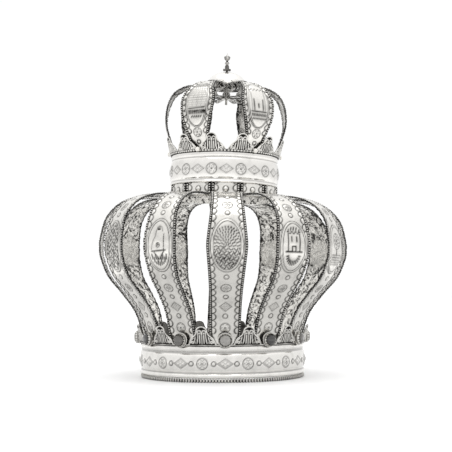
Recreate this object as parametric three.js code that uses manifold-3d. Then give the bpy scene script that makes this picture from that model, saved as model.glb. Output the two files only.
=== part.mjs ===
// Torah crown in silver: a beaded foot and a chased base band, twelve broad straps that swell out and
// close on a collar, and a second, smaller crown of six arches under a lobed dome cap with a finial.
// Millimetres, +Z up, the middle of the foot at the origin, the front towards -Y.
import * as THREE from 'three';
import * as BufferGeometryUtils from 'three/addons/utils/BufferGeometryUtils.js';
import Module from 'manifold-3d';

const wasm = await Module();
wasm.setup();

// ---- Driving dimensions ----
const GAP = 0.3;                  // clearance left where two pieces rest on each other
const SHEET = 1.1;                // thickness of the silver sheet
const WIRE = 2.2;                 // height of a strap with the beaded wire along its edges
const WIRE_REACH = 2.6;           // how far that wire and its solder reach in from the edge

const BASE_TOP = 36.3;            // top of the base band
const NECK_TOP = 205.5;           // top of the straps, where they stand up round the collar
const BAND_TOP = 237.6;           // top of the upper band
const DOME_TOP = 333.5;
const TOTAL_HEIGHT = 355.4;

const LOWER_COUNT = 12;           // straps, stones and palmettes of the lower crown
const UPPER_COUNT = 6;            // arches and pearls of the upper crown
const LEAN = THREE.MathUtils.degToRad(1.7); // the old crown has settled towards +X by this angle
const LEAN_FROM = 36;             // the straps begin to bend over here,
const LEAN_TO = 195;              // and all above this height is simply tipped

const RING_SIDES = 30;            // facets round the big rings
const NECK_SIDES = 24;            // facets round the smaller rings of the upper crown

// ---- Finishes ----
const finish = (color, roughness, metalness) =>
  new THREE.MeshStandardMaterial({ color, roughness, metalness });
const polished = () => finish(0xe4e3df, 0.18, 1);
const chased = () => finish(0xcfceca, 0.32, 1);
const STONE_COLORS = [0x908e8a, 0x2e2c2b, 0x5c5956]; // three colours of glass stone, in turn round the base
const stoneGlass = (k) => finish(STONE_COLORS[k % STONE_COLORS.length], 0.25, 0);

// ---- Mesh helpers ----
const stepAngle = (count) => (2 * Math.PI) / count;

// A point r out from the axis at azimuth a, which starts at -Y and turns towards +X, at height z.
const at = (a, r, z) => new THREE.Vector3(r * Math.sin(a), -r * Math.cos(a), z);

function geometryOf(points, faces) {
  const geometry = new THREE.BufferGeometry();
  geometry.setAttribute('position',
    new THREE.Float32BufferAttribute(points.flatMap((p) => [p.x, p.y, p.z]), 3));
  geometry.setIndex(faces.flat());
  return facingOut(geometry);
}

// Turns every face round when the body's signed volume comes out negative.
function facingOut(geometry) {
  const { position } = geometry.attributes;
  const index = geometry.getIndex().array;
  const corner = [0, 1, 2].map(() => new THREE.Vector3());
  let volume = 0;
  for (let i = 0; i < index.length; i += 3) {
    corner.forEach((v, k) => v.fromBufferAttribute(position, index[i + k]));
    volume += corner[0].dot(corner[1].clone().cross(corner[2]));
  }
  if (volume < 0) {
    for (let i = 0; i < index.length; i += 3) {
      [index[i + 1], index[i + 2]] = [index[i + 2], index[i + 1]];
    }
  }
  return geometry;
}

// Joins rings of equal length into one skin; an open run is capped with the section's triangles.
function loft(rings, closed, capFaces = []) {
  const size = rings[0].length;
  const faces = [];
  const last = closed ? rings.length : rings.length - 1;
  for (let i = 0; i < last; i += 1) {
    const here = i * size;
    const next = ((i + 1) % rings.length) * size;
    for (let j = 0; j < size; j += 1) {
      const k = (j + 1) % size;
      faces.push([here + j, here + k, next + k], [here + j, next + k, next + j]);
    }
  }
  if (!closed) {
    const end = (rings.length - 1) * size;
    for (const [a, b, c] of capFaces) {
      faces.push([a, c, b], [end + a, end + b, end + c]);
    }
  }
  return geometryOf(rings.flat(), faces);
}

function lathe(profile, sides) {
  const turned = new THREE.LatheGeometry(profile.map(([r, z]) => new THREE.Vector2(r, z)), sides);
  turned.rotateX(Math.PI / 2);
  return facingOut(welded(turned));
}

// Merges shared vertices and drops the faces that shrink to a line at a pole.
function welded(geometry) {
  const bare = geometry.clone();
  bare.deleteAttribute('normal');
  bare.deleteAttribute('uv');
  const merged = BufferGeometryUtils.mergeVertices(bare, 1e-4);
  const all = merged.getIndex().array;
  const kept = [];
  for (let i = 0; i < all.length; i += 3) {
    const face = [all[i], all[i + 1], all[i + 2]];
    if (new Set(face).size === 3) kept.push(...face);
  }
  merged.setIndex(kept);
  return merged;
}

function solidOf(geometry) {
  const bare = welded(geometry);
  return new wasm.Manifold(new wasm.Mesh({
    numProp: 3,
    vertProperties: Float32Array.from(bare.attributes.position.array),
    triVerts: Uint32Array.from(bare.getIndex().array),
  }));
}

function join(first, ...others) {
  const joined = others.reduce((body, other) => body.add(solidOf(other)), solidOf(first)).getMesh();
  const geometry = new THREE.BufferGeometry();
  geometry.setAttribute('position', new THREE.BufferAttribute(joined.vertProperties, 3));
  geometry.setIndex(new THREE.BufferAttribute(joined.triVerts, 1));
  return geometry;
}

function piece(name, geometry, material) {
  const mesh = new THREE.Mesh(geometry, material);
  mesh.name = name;
  return mesh;
}

// ---- The lean: a steady bend from LEAN_FROM to LEAN_TO, and a straight tip above ----
const BEND = LEAN_TO - LEAN_FROM;

function lean(geometry) {
  const { position } = geometry.attributes;
  for (let i = 0; i < position.count; i += 1) {
    const x = position.getX(i);
    const z = position.getZ(i);
    const bent = THREE.MathUtils.clamp(z - LEAN_FROM, 0, BEND);
    const angle = (LEAN * bent) / BEND;
    const rest = z - LEAN_FROM - bent;
    const shift = (BEND / LEAN) * (1 - Math.cos(angle)) + rest * Math.sin(angle);
    const rise = (BEND / LEAN) * Math.sin(angle) + rest * Math.cos(angle);
    position.setX(i, shift + x * Math.cos(angle));
    position.setZ(i, LEAN_FROM + rise - x * Math.sin(angle));
  }
  return geometry;
}

// The upper crown is built upright in this group, whose own origin is the middle of the neck.
const upper = new THREE.Group();
upper.position.set((BEND / LEAN) * (1 - Math.cos(LEAN)), 0, LEAN_FROM + (BEND / LEAN) * Math.sin(LEAN));
upper.rotation.y = LEAN;

function addUpper(name, geometry, material) {
  upper.add(piece(name, geometry.translate(0, 0, -LEAN_TO), material));
}

// ---- Straps: flat sheet with a beaded wire along both edges, swept up a curve in the r-z plane ----
// Each station is [r, z, width], with r and z on the outside of the beaded wires.
const LOWER_STATIONS = [
  [86.2, BASE_TOP + GAP, 32], [88.2, 50, 32.2], [95.5, 70, 32.6], [109.5, 89, 33.6], [124.5, 107, 36],
  [132.8, 127, 39.8], [134, 137, 41.2], [133.6, 147, 39.8], [128, 168.5, 35], [114.5, 184.2, 32.2], [96.5, 192.2, 31.8],
  [77, 194.6, 31], [60.6, 194.8, 29.4],
];
const NECK_RADIUS = 58.2;         // outside of the straps where they stand up round the collar
const NECK_WIDTH = 29.2;
// The upper arches turn down under the dome and run in to the middle as narrow tongues.
const UPPER_STATIONS = [
  [55.7, BAND_TOP + GAP, 22], [57.6, 244.5, 22.4], [60.6, 252.5, 23.6], [64, 262.5, 29],
  [66.3, 273, 35.4], [66.2, 284, 39.2], [63.6, 296, 39.8], [57.6, 307.4, 31], [47.5, 314.6, 24],
  [37.5, 317.9, 15], [31.5, 316, 9.5], [29, 309.5, 8], [25.5, 305, 8], [12, 306.4, 7.4], [3.3, 307.4, 3],
];

// Set and bent by hand, some lower straps stand a little off their even places or are turned
// about their own length, most at the belly and not at all at the two ends: [swing, turn] in degrees.
const STRAP_OFFSETS = { 7: [-2.8, 0], 8: [-4.7, 0], 9: [-5.9, 0], 12: [0, -8] };

function sweepPath(stations, steps, extra = []) {
  const knots = stations.map(([r, z, width]) => new THREE.Vector3(r, width, z));
  const points = new THREE.CatmullRomCurve3(knots, false, 'catmullrom', 0.5).getSpacedPoints(steps);
  points.push(...extra.map(([r, z, width]) => new THREE.Vector3(r, width, z)));
  const flat = points.map((p) => new THREE.Vector2(p.x, p.z));
  const outward = flat.slice(1).map((p, i) => {
    const along = p.clone().sub(flat[i]).normalize();
    return new THREE.Vector2(along.y, -along.x);
  });
  let length = 0;
  return points.map((p, i) => {
    const before = outward[Math.max(i - 1, 0)];
    const after = outward[Math.min(i, outward.length - 1)];
    const mitre = before.clone().add(after).divideScalar(1 + before.dot(after));
    if (i > 0) length += flat[i].distanceTo(flat[i - 1]);
    return { r: p.x, z: p.z, width: p.y, mitre, length };
  });
}

// How far a point of the path is from both ends: 1 half way along the strap, 0 at its foot and neck.
function belly(path, length) {
  const shoulder = path[path.length - 3].length;
  return length < shoulder ? Math.sin((Math.PI * length) / shoulder) : 0;
}

// The path's point and mitre at a length along it.
function alongPath(path, length) {
  const i = Math.max(1, path.findIndex((p) => p.length >= length));
  const [a, b] = [path[i - 1], path[i]];
  const t = (length - a.length) / (b.length - a.length);
  const blend = (key) => THREE.MathUtils.lerp(a[key], b[key], t);
  return { r: blend('r'), z: blend('z'), length, mitre: a.mitre.clone().lerp(b.mitre, t) };
}

const section = (w, points) => points.map(([side, inset, h]) => [side * (w / 2 - inset), h]);
const STRAP_SECTION = [
  [-1, 0, -WIRE], [1, 0, -WIRE], [1, 0, 0],
  [1, WIRE_REACH, -SHEET], [-1, WIRE_REACH, -SHEET], [-1, 0, 0],
];

// Carries a section along the stops; place(stop) gives the azimuth of the stop and its own facing.
function sweep(stops, place, points) {
  const rings = stops.map((stop) => {
    const { azimuth, facing } = place(stop);
    const across = at(facing + Math.PI / 2, 1, 0);
    return section(stop.width, points).map(([u, h]) => at(azimuth, stop.r, stop.z)
      .add(at(facing, stop.mitre.x * h, stop.mitre.y * h)).addScaledVector(across, u));
  });
  const outline = section(stops[0].width, points).map(([u, h]) => new THREE.Vector2(u, h));
  return loft(rings, false, THREE.ShapeUtils.triangulateShape(outline, []));
}

// A raised oval plaque on a strap; its foot is sunk in the sheet so that the two are one body.
const PLAQUE_SECTION = [[-1, 0, -1.6], [1, 0, -1.6], [1, 0.6, -0.1], [-1, 0.6, -0.1]];

function plaque(path, place, { middle, length, width, from, to, rows }) {
  const stops = [];
  for (let i = 0; i <= rows; i += 1) {
    const turn = THREE.MathUtils.degToRad(THREE.MathUtils.lerp(from, to, i / rows));
    const stop = alongPath(path, middle + (length / 2) * Math.sin(turn));
    stops.push({ ...stop, width: width * Math.cos(turn) });
  }
  return sweep(stops, place, PLAQUE_SECTION);
}

const MEDALLION = { middle: 113.4, length: 54, width: 33, from: -75, to: 75, rows: 5 };
const CARTOUCHE = { middle: 54, length: 54, width: 27, from: -75, to: 50, rows: 4 };

const lowerPath = sweepPath(LOWER_STATIONS, 12,
  [[NECK_RADIUS, 194.8, NECK_WIDTH], [NECK_RADIUS, NECK_TOP, NECK_WIDTH]]);
const upperPath = sweepPath(UPPER_STATIONS, 14);

function strap(path, azimuth, medallion, [swing, turn] = [0, 0]) {
  const place = (stop) => {
    const share = THREE.MathUtils.degToRad(belly(path, stop.length));
    const here = azimuth + swing * share;
    return { azimuth: here, facing: here + turn * share };
  };
  return join(sweep(path, place, STRAP_SECTION), plaque(path, place, medallion));
}

// ---- Bands and rings ----
const footWire = () => lathe([
  [85.4, 0], [88.1, 0], [88.9, 2], [88.1, 4], [85.4, 4], [85.4, 0],
], RING_SIDES);

const baseBand = () => lathe([
  [87.2, 4.3], [89.3, 6.3], [87.6, 9.3], [89.5, 13.5], [90.2, 19.5], [89.4, 25.5], [87.6, 30.2],
  [88.9, 33.6], [88.4, BASE_TOP], [82.8, BASE_TOP],
  [82.8, BASE_TOP - SHEET], [86.3, BASE_TOP - SHEET], [89, 19.5], [86.1, 9.3], [86.1, 4.3], [87.2, 4.3],
], RING_SIDES);

const collar = () => lathe([
  [54.4, 191.5], [55.5, 191.5], [55.5, NECK_TOP - 0.1], [54.4, NECK_TOP - 0.1], [54.4, 191.5],
], NECK_SIDES);

const upperBand = () => lathe([
  [54.2, NECK_TOP + GAP], [58.8, NECK_TOP + GAP], [59.5, 207.4], [58.3, 209.4], [59.8, 216],
  [59.7, 225], [57.7, 232.6], [58.6, BAND_TOP], [52.8, BAND_TOP],
  [52.8, BAND_TOP - SHEET], [56.3, BAND_TOP - SHEET], [58.5, 220], [57, 207], [54.2, 207],
  [54.2, NECK_TOP + GAP],
], NECK_SIDES);

// ---- Crestings: a low strip that rises into palmettes and leans outwards ----
// A palmette's outline is [distance from its middle, height above the strip's foot], on both sides.
const BASE_CRESTING = {
  foot: BASE_TOP + GAP, inner: 88, slope: 0.265,
  crest: 20.4, half: [[5.2, 17.6], [7.6, 11], [14, 2]],
};
const UPPER_CRESTING = {
  foot: BAND_TOP + GAP, inner: 57.9, slope: 0.335,
  crest: 19.4, half: [[5, 16.4], [7.4, 10.4], [15.1, 2.4]],
};

function cresting({ foot, inner, slope, crest, half }) {
  const columns = [...half.map(([d, h]) => [-d, h]).reverse(), [0, crest], ...half];
  const rings = [];
  for (let k = 0; k < LOWER_COUNT; k += 1) {
    const middle = (k + 0.5) * stepAngle(LOWER_COUNT);
    for (const [distance, height] of columns) {
      const a = middle + distance / inner;
      const lift = slope * height;
      rings.push([
        at(a, inner, foot), at(a, inner + SHEET, foot),
        at(a, inner + lift + SHEET, foot + height), at(a, inner + lift, foot + height),
      ]);
    }
  }
  return loft(rings, true);
}

// ---- Stones, bezels and pearls: turned about an axis that points out from the crown ----
const STONE_HEIGHT = 42.9;
const BEZEL_BACK = 89.9;
const BEZEL_PROFILE = [[0, 0], [6, 0], [6.3, 3.4], [0, 1]];
const STONE_PROFILE = [[0, 1.4], [5.6, 3.9], [3.7, 6], [0, 6]];
const PEARL_HEIGHT = 240.4;
const PEARL_BACK = 60.7;
const PEARL_PROFILE = [[0, 0], [2.6, 0], [2.1, 1.6], [0, 2.4]];
const STONE_SIDES = 8;
const PEARL_SIDES = 6;

function stud(profile, sides, azimuth, back, height) {
  const turned = lathe(profile, sides);
  turned.rotateZ(Math.PI / sides);
  turned.rotateX(Math.PI / 2);
  turned.translate(0, -back, 0);
  turned.rotateZ(azimuth);
  return turned.translate(0, 0, height);
}

// ---- Dome cap: a thin shell with six lobes that lie on the arches and six points between them ----
const DOME_SIDES = 24;
const DOME_CROWN = [[9, 332.2], [15.9, 329], [20, 324.4], [22.4, 321.6]];
const LOBE = { r: 35.5, z: 318.9 };
const POINT = { r: 24.2, z: 314.4 };

function domeCap() {
  const rings = [];
  for (let i = 0; i < DOME_SIDES; i += 1) {
    const a = i * stepAngle(DOME_SIDES);
    const reach = Math.abs(Math.sin((UPPER_COUNT / 2) * a));
    const edge = [THREE.MathUtils.lerp(POINT.r, LOBE.r, reach), THREE.MathUtils.lerp(POINT.z, LOBE.z, reach)];
    const middle = DOME_CROWN[DOME_CROWN.length - 1];
    const flare = [(middle[0] + edge[0]) / 2, (middle[1] + edge[1]) / 2 - 0.4 * reach];
    const outside = [...DOME_CROWN, flare, edge];
    const inside = [[edge[0] - 1, edge[1] - 0.1], [21, 320.6], [14.8, 327.8]];
    rings.push([...outside, ...inside].map(([r, z]) => at(a, r, z)));
  }
  return closeOnAxis(rings, DOME_TOP, DOME_TOP - SHEET);
}

// Rings of open profiles round the axis, closed by one fan at the top and one under it.
function closeOnAxis(rings, top, under) {
  const size = rings[0].length;
  const points = [...rings.flat(), new THREE.Vector3(0, 0, top), new THREE.Vector3(0, 0, under)];
  const [topIndex, underIndex] = [points.length - 2, points.length - 1];
  const faces = [];
  rings.forEach((ring, i) => {
    const here = i * size;
    const next = ((i + 1) % rings.length) * size;
    for (let j = 0; j + 1 < size; j += 1) {
      faces.push([here + j, here + j + 1, next + j + 1], [here + j, next + j + 1, next + j]);
    }
    faces.push([topIndex, here, next], [underIndex, next + size - 1, here + size - 1]);
  });
  return geometryOf(points, faces);
}

// ---- Finial: a turned stem on three scrolled feet, with a small tulip and a spike ----
const FINIAL_STEM = [
  [0, DOME_TOP + GAP], [1.7, DOME_TOP + GAP], [1.2, 336], [1.1, 341.4], [2.6, 343.8], [1, 345.8],
  [3.3, 348.6], [3.7, 351.2], [0.9, 352.4], [0, TOTAL_HEIGHT],
];
const FINIAL_FOOT = [[0.6, 336.4], [3.4, 335.2], [4.7, 336.4], [4.2, 338.2], [2.4, 338.4], [2, 341.4], [0.6, 341.8]];
const FOOT_WIDTH = 1.5;

function finial() {
  const foot = new THREE.Shape(FINIAL_FOOT.map(([r, z]) => new THREE.Vector2(r, z)));
  const feet = [0, 1, 2].map((k) => {
    const plate = new THREE.ExtrudeGeometry(foot, { depth: FOOT_WIDTH, bevelEnabled: false });
    plate.translate(0, 0, -FOOT_WIDTH / 2);
    plate.rotateX(Math.PI / 2);
    return plate.rotateZ(k * stepAngle(3) + Math.PI / 6);
  });
  return join(lathe(FINIAL_STEM, 6), ...feet);
}

// ---- Washer under the arches, and the nut on its threaded rod above and through them ----
const washer = () => lathe([[1.9, 303.3], [5.2, 303.3], [5.2, 304.9], [1.9, 304.9], [1.9, 303.3]], 8);

const nut = () => lathe([
  [0, 297.3], [1.5, 297.3], [1.5, 307.8], [4.4, 307.8], [4.3, 310], [3.4, 310.6],
  [3.4, 313.4], [1.5, 313.8], [1.5, 331.8], [0, 331.8],
], 8);

// ---- Assembly ----
const crown = new THREE.Group();
const twoDigits = (k) => String(k + 1).padStart(2, '0');

crown.add(piece('foot_bead_wire', footWire(), chased()));
crown.add(piece('base_band', baseBand(), polished()));
crown.add(piece('base_cresting', cresting(BASE_CRESTING), chased()));

for (let k = 0; k < LOWER_COUNT; k += 1) {
  const azimuth = k * stepAngle(LOWER_COUNT);
  const bent = lean(strap(lowerPath, azimuth, MEDALLION, STRAP_OFFSETS[k + 1]));
  const bezel = stud(BEZEL_PROFILE, STONE_SIDES, azimuth, BEZEL_BACK, STONE_HEIGHT);
  const stone = stud(STONE_PROFILE, STONE_SIDES, azimuth, BEZEL_BACK, STONE_HEIGHT);
  crown.add(piece(`strap_${twoDigits(k)}`, bent, chased()));
  crown.add(piece(`bezel_${twoDigits(k)}`, bezel, chased()));
  crown.add(piece(`stone_${twoDigits(k)}`, stone, stoneGlass(k)));
}

addUpper('collar', collar(), chased());
addUpper('upper_band', upperBand(), polished());
addUpper('upper_cresting', cresting(UPPER_CRESTING), chased());
for (let k = 0; k < UPPER_COUNT; k += 1) {
  const azimuth = (k + 0.5) * stepAngle(UPPER_COUNT);
  addUpper(`upper_strap_${k + 1}`, strap(upperPath, azimuth, CARTOUCHE), chased());
  addUpper(`pearl_${k + 1}`, stud(PEARL_PROFILE, PEARL_SIDES, azimuth, PEARL_BACK, PEARL_HEIGHT),
    polished());
}
addUpper('dome_cap', domeCap(), polished());
addUpper('washer', washer(), chased());
addUpper('nut', nut(), chased());
addUpper('finial', finial(), polished());
crown.add(upper);

export default crown;
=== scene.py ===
"""A tall torah crown of old silver: a beaded foot and chased base band, twelve embossed straps,
and a small crown of six arches under a domed cap and finial. Metres, +Z up, front towards -Y."""
from math import cos, pi, radians, sin

import bpy
import numpy as np
from mathutils import Matrix, Vector


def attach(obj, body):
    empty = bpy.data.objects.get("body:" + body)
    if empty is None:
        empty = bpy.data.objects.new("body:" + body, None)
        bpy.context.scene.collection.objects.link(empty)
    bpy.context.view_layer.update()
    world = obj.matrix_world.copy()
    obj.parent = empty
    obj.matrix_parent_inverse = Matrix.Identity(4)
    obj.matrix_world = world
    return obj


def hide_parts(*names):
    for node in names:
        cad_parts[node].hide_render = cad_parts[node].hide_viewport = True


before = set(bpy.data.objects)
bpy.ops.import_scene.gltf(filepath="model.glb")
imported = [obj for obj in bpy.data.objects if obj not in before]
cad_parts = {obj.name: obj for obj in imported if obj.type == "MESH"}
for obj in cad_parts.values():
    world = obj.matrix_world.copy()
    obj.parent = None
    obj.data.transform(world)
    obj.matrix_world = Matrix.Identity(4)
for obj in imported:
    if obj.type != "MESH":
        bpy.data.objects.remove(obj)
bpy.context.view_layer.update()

# ---------------------------------------------------------------------------------------------
# Studio: white paper under a white tent of light, a soft lamp overhead and a faint one inside the
# crown, and a camera a little over a metre away, just above the base and tipped up.
EYE_DISTANCE = 1.156
EYE_HEIGHT = 0.0967
EYE_SIDE, EYE_TURN, EYE_TIP, EYE_ROLL = (radians(v) for v in (-1.8, 2.028, 3.30, -0.30))


def srgb(code):
    """A colour from its sRGB hex code, as the linear values that shaders take."""
    parts = [int(code[i:i + 2], 16) / 255 for i in (0, 2, 4)]
    return [p / 12.92 if p <= 0.04045 else ((p + 0.055) / 1.055) ** 2.4 for p in parts] + [1.0]


def add_node(tree, kind, inputs=None, **settings):
    """Adds a shader node, sets it, and fills or links its inputs."""
    made = tree.nodes.new(kind)
    for key, value in settings.items():
        setattr(made, key, value)
    for key, value in (inputs or {}).items():
        if isinstance(value, bpy.types.NodeSocket):
            tree.links.new(value, made.inputs[key])
        else:
            made.inputs[key].default_value = value
    return made


forward = Vector((sin(EYE_TURN) * cos(EYE_TIP), cos(EYE_TURN) * cos(EYE_TIP), sin(EYE_TIP)))
level = Vector((cos(EYE_TURN), -sin(EYE_TURN), 0))
upright = level.cross(forward)
right = level * cos(EYE_ROLL) + upright * sin(EYE_ROLL)
up = upright * cos(EYE_ROLL) - level * sin(EYE_ROLL)
camera = bpy.data.objects.new("camera", bpy.data.cameras.new("camera"))
camera.matrix_world = Matrix.Translation(
    (EYE_DISTANCE * sin(EYE_SIDE), -EYE_DISTANCE * cos(EYE_SIDE), EYE_HEIGHT)
) @ Matrix((right, up, -forward)).transposed().to_4x4()
camera.data.lens = 84.03
camera.data.sensor_width = 36
camera.data.clip_end = 50
bpy.context.scene.collection.objects.link(camera)
bpy.context.scene.camera = camera
bpy.context.scene.view_settings.view_transform = "Standard"

world = bpy.context.scene.world or bpy.data.worlds.new("tent")
bpy.context.scene.world = world
world.use_nodes = True
world.node_tree.nodes["Background"].inputs["Color"].default_value = srgb("FFFFFF")
# The tent is white all round and brighter overhead.
skyward = add_node(world.node_tree, "ShaderNodeSeparateXYZ", {
    0: add_node(world.node_tree, "ShaderNodeTexCoord").outputs["Generated"]}).outputs["Z"]
glow = add_node(world.node_tree, "ShaderNodeMapRange", {
    "Value": skyward, "From Min": 0.3, "From Max": 0.9, "To Min": 1.02, "To Max": 1.32})
world.node_tree.links.new(glow.outputs["Result"], world.node_tree.nodes["Background"].inputs["Strength"])


def softbox(name, place, aim, size, power):
    light = bpy.data.objects.new(name, bpy.data.lights.new(name, "AREA"))
    light.data.shape = "RECTANGLE"
    light.data.size, light.data.size_y = size
    light.data.energy = power
    light.location = place
    light.rotation_euler = (Vector(aim) - Vector(place)).to_track_quat("-Z", "Y").to_euler()
    bpy.context.scene.collection.objects.link(light)


softbox("overhead", (0, -0.2, 1.6), (0, 0, 0.2), (1.4, 1.4), 8)

# A faint lamp inside the crown lifts the backs of the straps.
glow_inside = bpy.data.objects.new("glow_inside", bpy.data.lights.new("glow_inside", "POINT"))
glow_inside.data.energy = 0.5
glow_inside.data.shadow_soft_size = 0.03
glow_inside.location = (0, 0, 0.12)
glow_inside.visible_camera = glow_inside.visible_glossy = False
bpy.context.scene.collection.objects.link(glow_inside)

bpy.ops.object.select_all(action="DESELECT")
bpy.ops.mesh.primitive_plane_add(size=12)
floor = bpy.context.active_object
floor.name = "floor"
paper = bpy.data.materials.new("white_paper")
paper.use_nodes = True
paper.node_tree.nodes["Principled BSDF"].inputs["Base Color"].default_value = srgb("F8F8F8")
paper.node_tree.nodes["Principled BSDF"].inputs["Roughness"].default_value = 0.9
floor.data.materials.append(paper)

# A ring of grey card round the foot, unseen itself, gives the silver something to mirror.
CARD_REACH, CARD_WIDTH = 0.34, 0.24
bpy.ops.object.select_all(action="DESELECT")
bpy.ops.mesh.primitive_circle_add(vertices=64, radius=CARD_REACH, location=(0, 0, 0.001), fill_type="NGON")
grey_card = bpy.context.active_object
grey_card.name = "grey_card"
bpy.ops.object.mode_set(mode="EDIT")
bpy.ops.mesh.inset(thickness=CARD_WIDTH)
bpy.ops.mesh.delete(type="FACE")
bpy.ops.object.mode_set(mode="OBJECT")
card_stock = bpy.data.materials.new("grey_card")
card_stock.use_nodes = True
card_face = card_stock.node_tree.nodes["Principled BSDF"]
card_face.inputs["Base Color"].default_value = srgb("000000")
card_face.inputs["Emission Color"].default_value = srgb("E4E4E4")
card_face.inputs["Emission Strength"].default_value = 1.0
grey_card.data.materials.append(card_stock)
for ray in ("camera", "diffuse", "shadow", "transmission"):
    setattr(grey_card, "visible_" + ray, False)

# ---------------------------------------------------------------------------------------------
# Foot: a half-round silver wire worked into a row of beads, soldered under the base band.
MM = 0.001
FOOT_BEADS = 177
FOOT_RADIUS, FOOT_BEAD = 86.75, 2.05


def old_silver(name, bright, oxide, shine, worn):
    """Silver sheet, polished by hand: near white where it is rubbed, sulphide grey in the chased lines, and
    the same grey laid on as painted shade where a piece marks it.
    """
    metal = bpy.data.materials.new(name)
    metal.use_nodes = True
    tree = metal.node_tree
    shader = tree.nodes["Principled BSDF"]
    place = add_node(tree, "ShaderNodeTexCoord").outputs["Object"]
    cuts = add_node(tree, "ShaderNodeAttribute", attribute_name="tarnish").outputs["Fac"]
    # Clouds of tarnish about 12 mm across, and the hammer's grain of about 1.5 mm.
    cloud = add_node(tree, "ShaderNodeTexNoise", {"Vector": place, "Scale": 85, "Detail": 3})
    grain = add_node(tree, "ShaderNodeTexNoise", {"Vector": place, "Scale": 650, "Detail": 2})
    haze = add_node(tree, "ShaderNodeMapRange", {
        "Value": cloud.outputs["Fac"], "From Min": 0.45, "From Max": 0.75, "To Max": worn})
    # Inside, where nobody polishes, curling blotches of about 4 mm have stayed dark.
    inside = add_node(tree, "ShaderNodeAttribute", attribute_name="inside").outputs["Fac"]
    blotch = add_node(tree, "ShaderNodeTexNoise", {
        "Vector": place, "Scale": 120, "Detail": 3, "Roughness": 0.6, "Distortion": 2.2})
    stain = add_node(tree, "ShaderNodeMapRange", {
        "Value": blotch.outputs["Fac"], "From Min": 0.48, "From Max": 0.57, "To Max": 0.78})
    stain = add_node(tree, "ShaderNodeMath", {0: stain.outputs["Result"], 1: inside}, operation="MULTIPLY")
    haze = add_node(tree, "ShaderNodeMath", {
        0: haze.outputs["Result"], 1: stain.outputs[0]}, operation="ADD").outputs[0]
    depth = add_node(tree, "ShaderNodeMath", {0: cuts, 1: haze}, operation="ADD", use_clamp=True).outputs[0]
    colour = add_node(tree, "ShaderNodeMix", {0: depth, 6: srgb(bright), 7: srgb(oxide)}, data_type="RGBA")
    rough = add_node(tree, "ShaderNodeMapRange", {"Value": depth, "To Min": shine, "To Max": 0.55})
    bump = add_node(tree, "ShaderNodeBump", {
        "Height": grain.outputs["Fac"], "Strength": 0.25, "Distance": 0.0002})
    tree.links.new(colour.outputs[2], shader.inputs["Base Color"])
    tree.links.new(rough.outputs["Result"], shader.inputs["Roughness"])
    tree.links.new(bump.outputs["Normal"], shader.inputs["Normal"])
    # The inside was pickled white and never burnished, so it scatters light as well as mirrors it.
    burnish = add_node(tree, "ShaderNodeMapRange", {"Value": inside, "To Min": 1.0, "To Max": 0.35})
    tree.links.new(burnish.outputs["Result"], shader.inputs["Metallic"])
    return metal


chased_silver = old_silver("chased_silver", "E1DFDA", "1B1917", 0.2, 0.22)
polished_silver = old_silver("polished_silver", "E6E4E0", "24221F", 0.12, 0.14)


def places(obj):
    """The vertices of a piece as rows of x, y, z in millimetres."""
    flat = np.empty(3 * len(obj.data.vertices), np.float32)
    obj.data.vertices.foreach_get("co", flat)
    return flat.reshape(-1, 3).astype(float) / MM


def move_to(obj, points):
    obj.data.vertices.foreach_set("co", (np.asarray(points, float) * MM).astype(np.float32).ravel())
    obj.data.update()


def select_only(*objects):
    bpy.ops.object.select_all(action="DESELECT")
    for obj in objects:
        obj.select_set(True)
    bpy.context.view_layer.objects.active = objects[0]


def tarnish(obj, amount, inside=None):
    """How far the silver of each vertex has darkened, with oxide in some places and painted shade in others,
    and how much of it is the unpolished inside.
    """
    for name, values in (("tarnish", amount), ("inside", inside)):
        if values is not None:
            layer = obj.data.attributes.new(name, "FLOAT", "POINT")
            layer.data.foreach_set("value", np.clip(values, 0, 1).astype(np.float32))


def close_up(obj, doubles=1e-6):
    """Merges the seams and poles of a piece and turns all its faces outwards."""
    select_only(obj)
    bpy.ops.object.mode_set(mode="EDIT")
    bpy.ops.mesh.select_all(action="SELECT")
    bpy.ops.mesh.remove_doubles(threshold=doubles)
    bpy.ops.mesh.dissolve_degenerate(threshold=1e-7)
    bpy.ops.mesh.select_all(action="SELECT")
    bpy.ops.mesh.normals_make_consistent(inside=False)
    bpy.ops.object.mode_set(mode="OBJECT")


def finish_piece(obj, name, material, slot, *nodes, angle=60):
    """Names a piece, gives it its finish, and fixes it on the crown in place of its solids."""
    obj.name = obj.data.name = name
    if not obj.data.materials:
        obj.data.materials.append(material)
    select_only(obj)
    bpy.ops.object.shade_smooth_by_angle(angle=radians(angle))
    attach(obj, "root")
    if nodes:
        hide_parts(*nodes)


def around(azimuth, radius, height):
    """Points in millimetres at an azimuth that starts at -Y and turns towards +X."""
    return np.stack(np.broadcast_arrays(radius * np.sin(azimuth), -radius * np.cos(azimuth), height), -1)


def polar(points):
    """Azimuth and radius of points round the crown's axis."""
    return np.arctan2(points[:, 0], -points[:, 1]), np.hypot(points[:, 0], points[:, 1])


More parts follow.
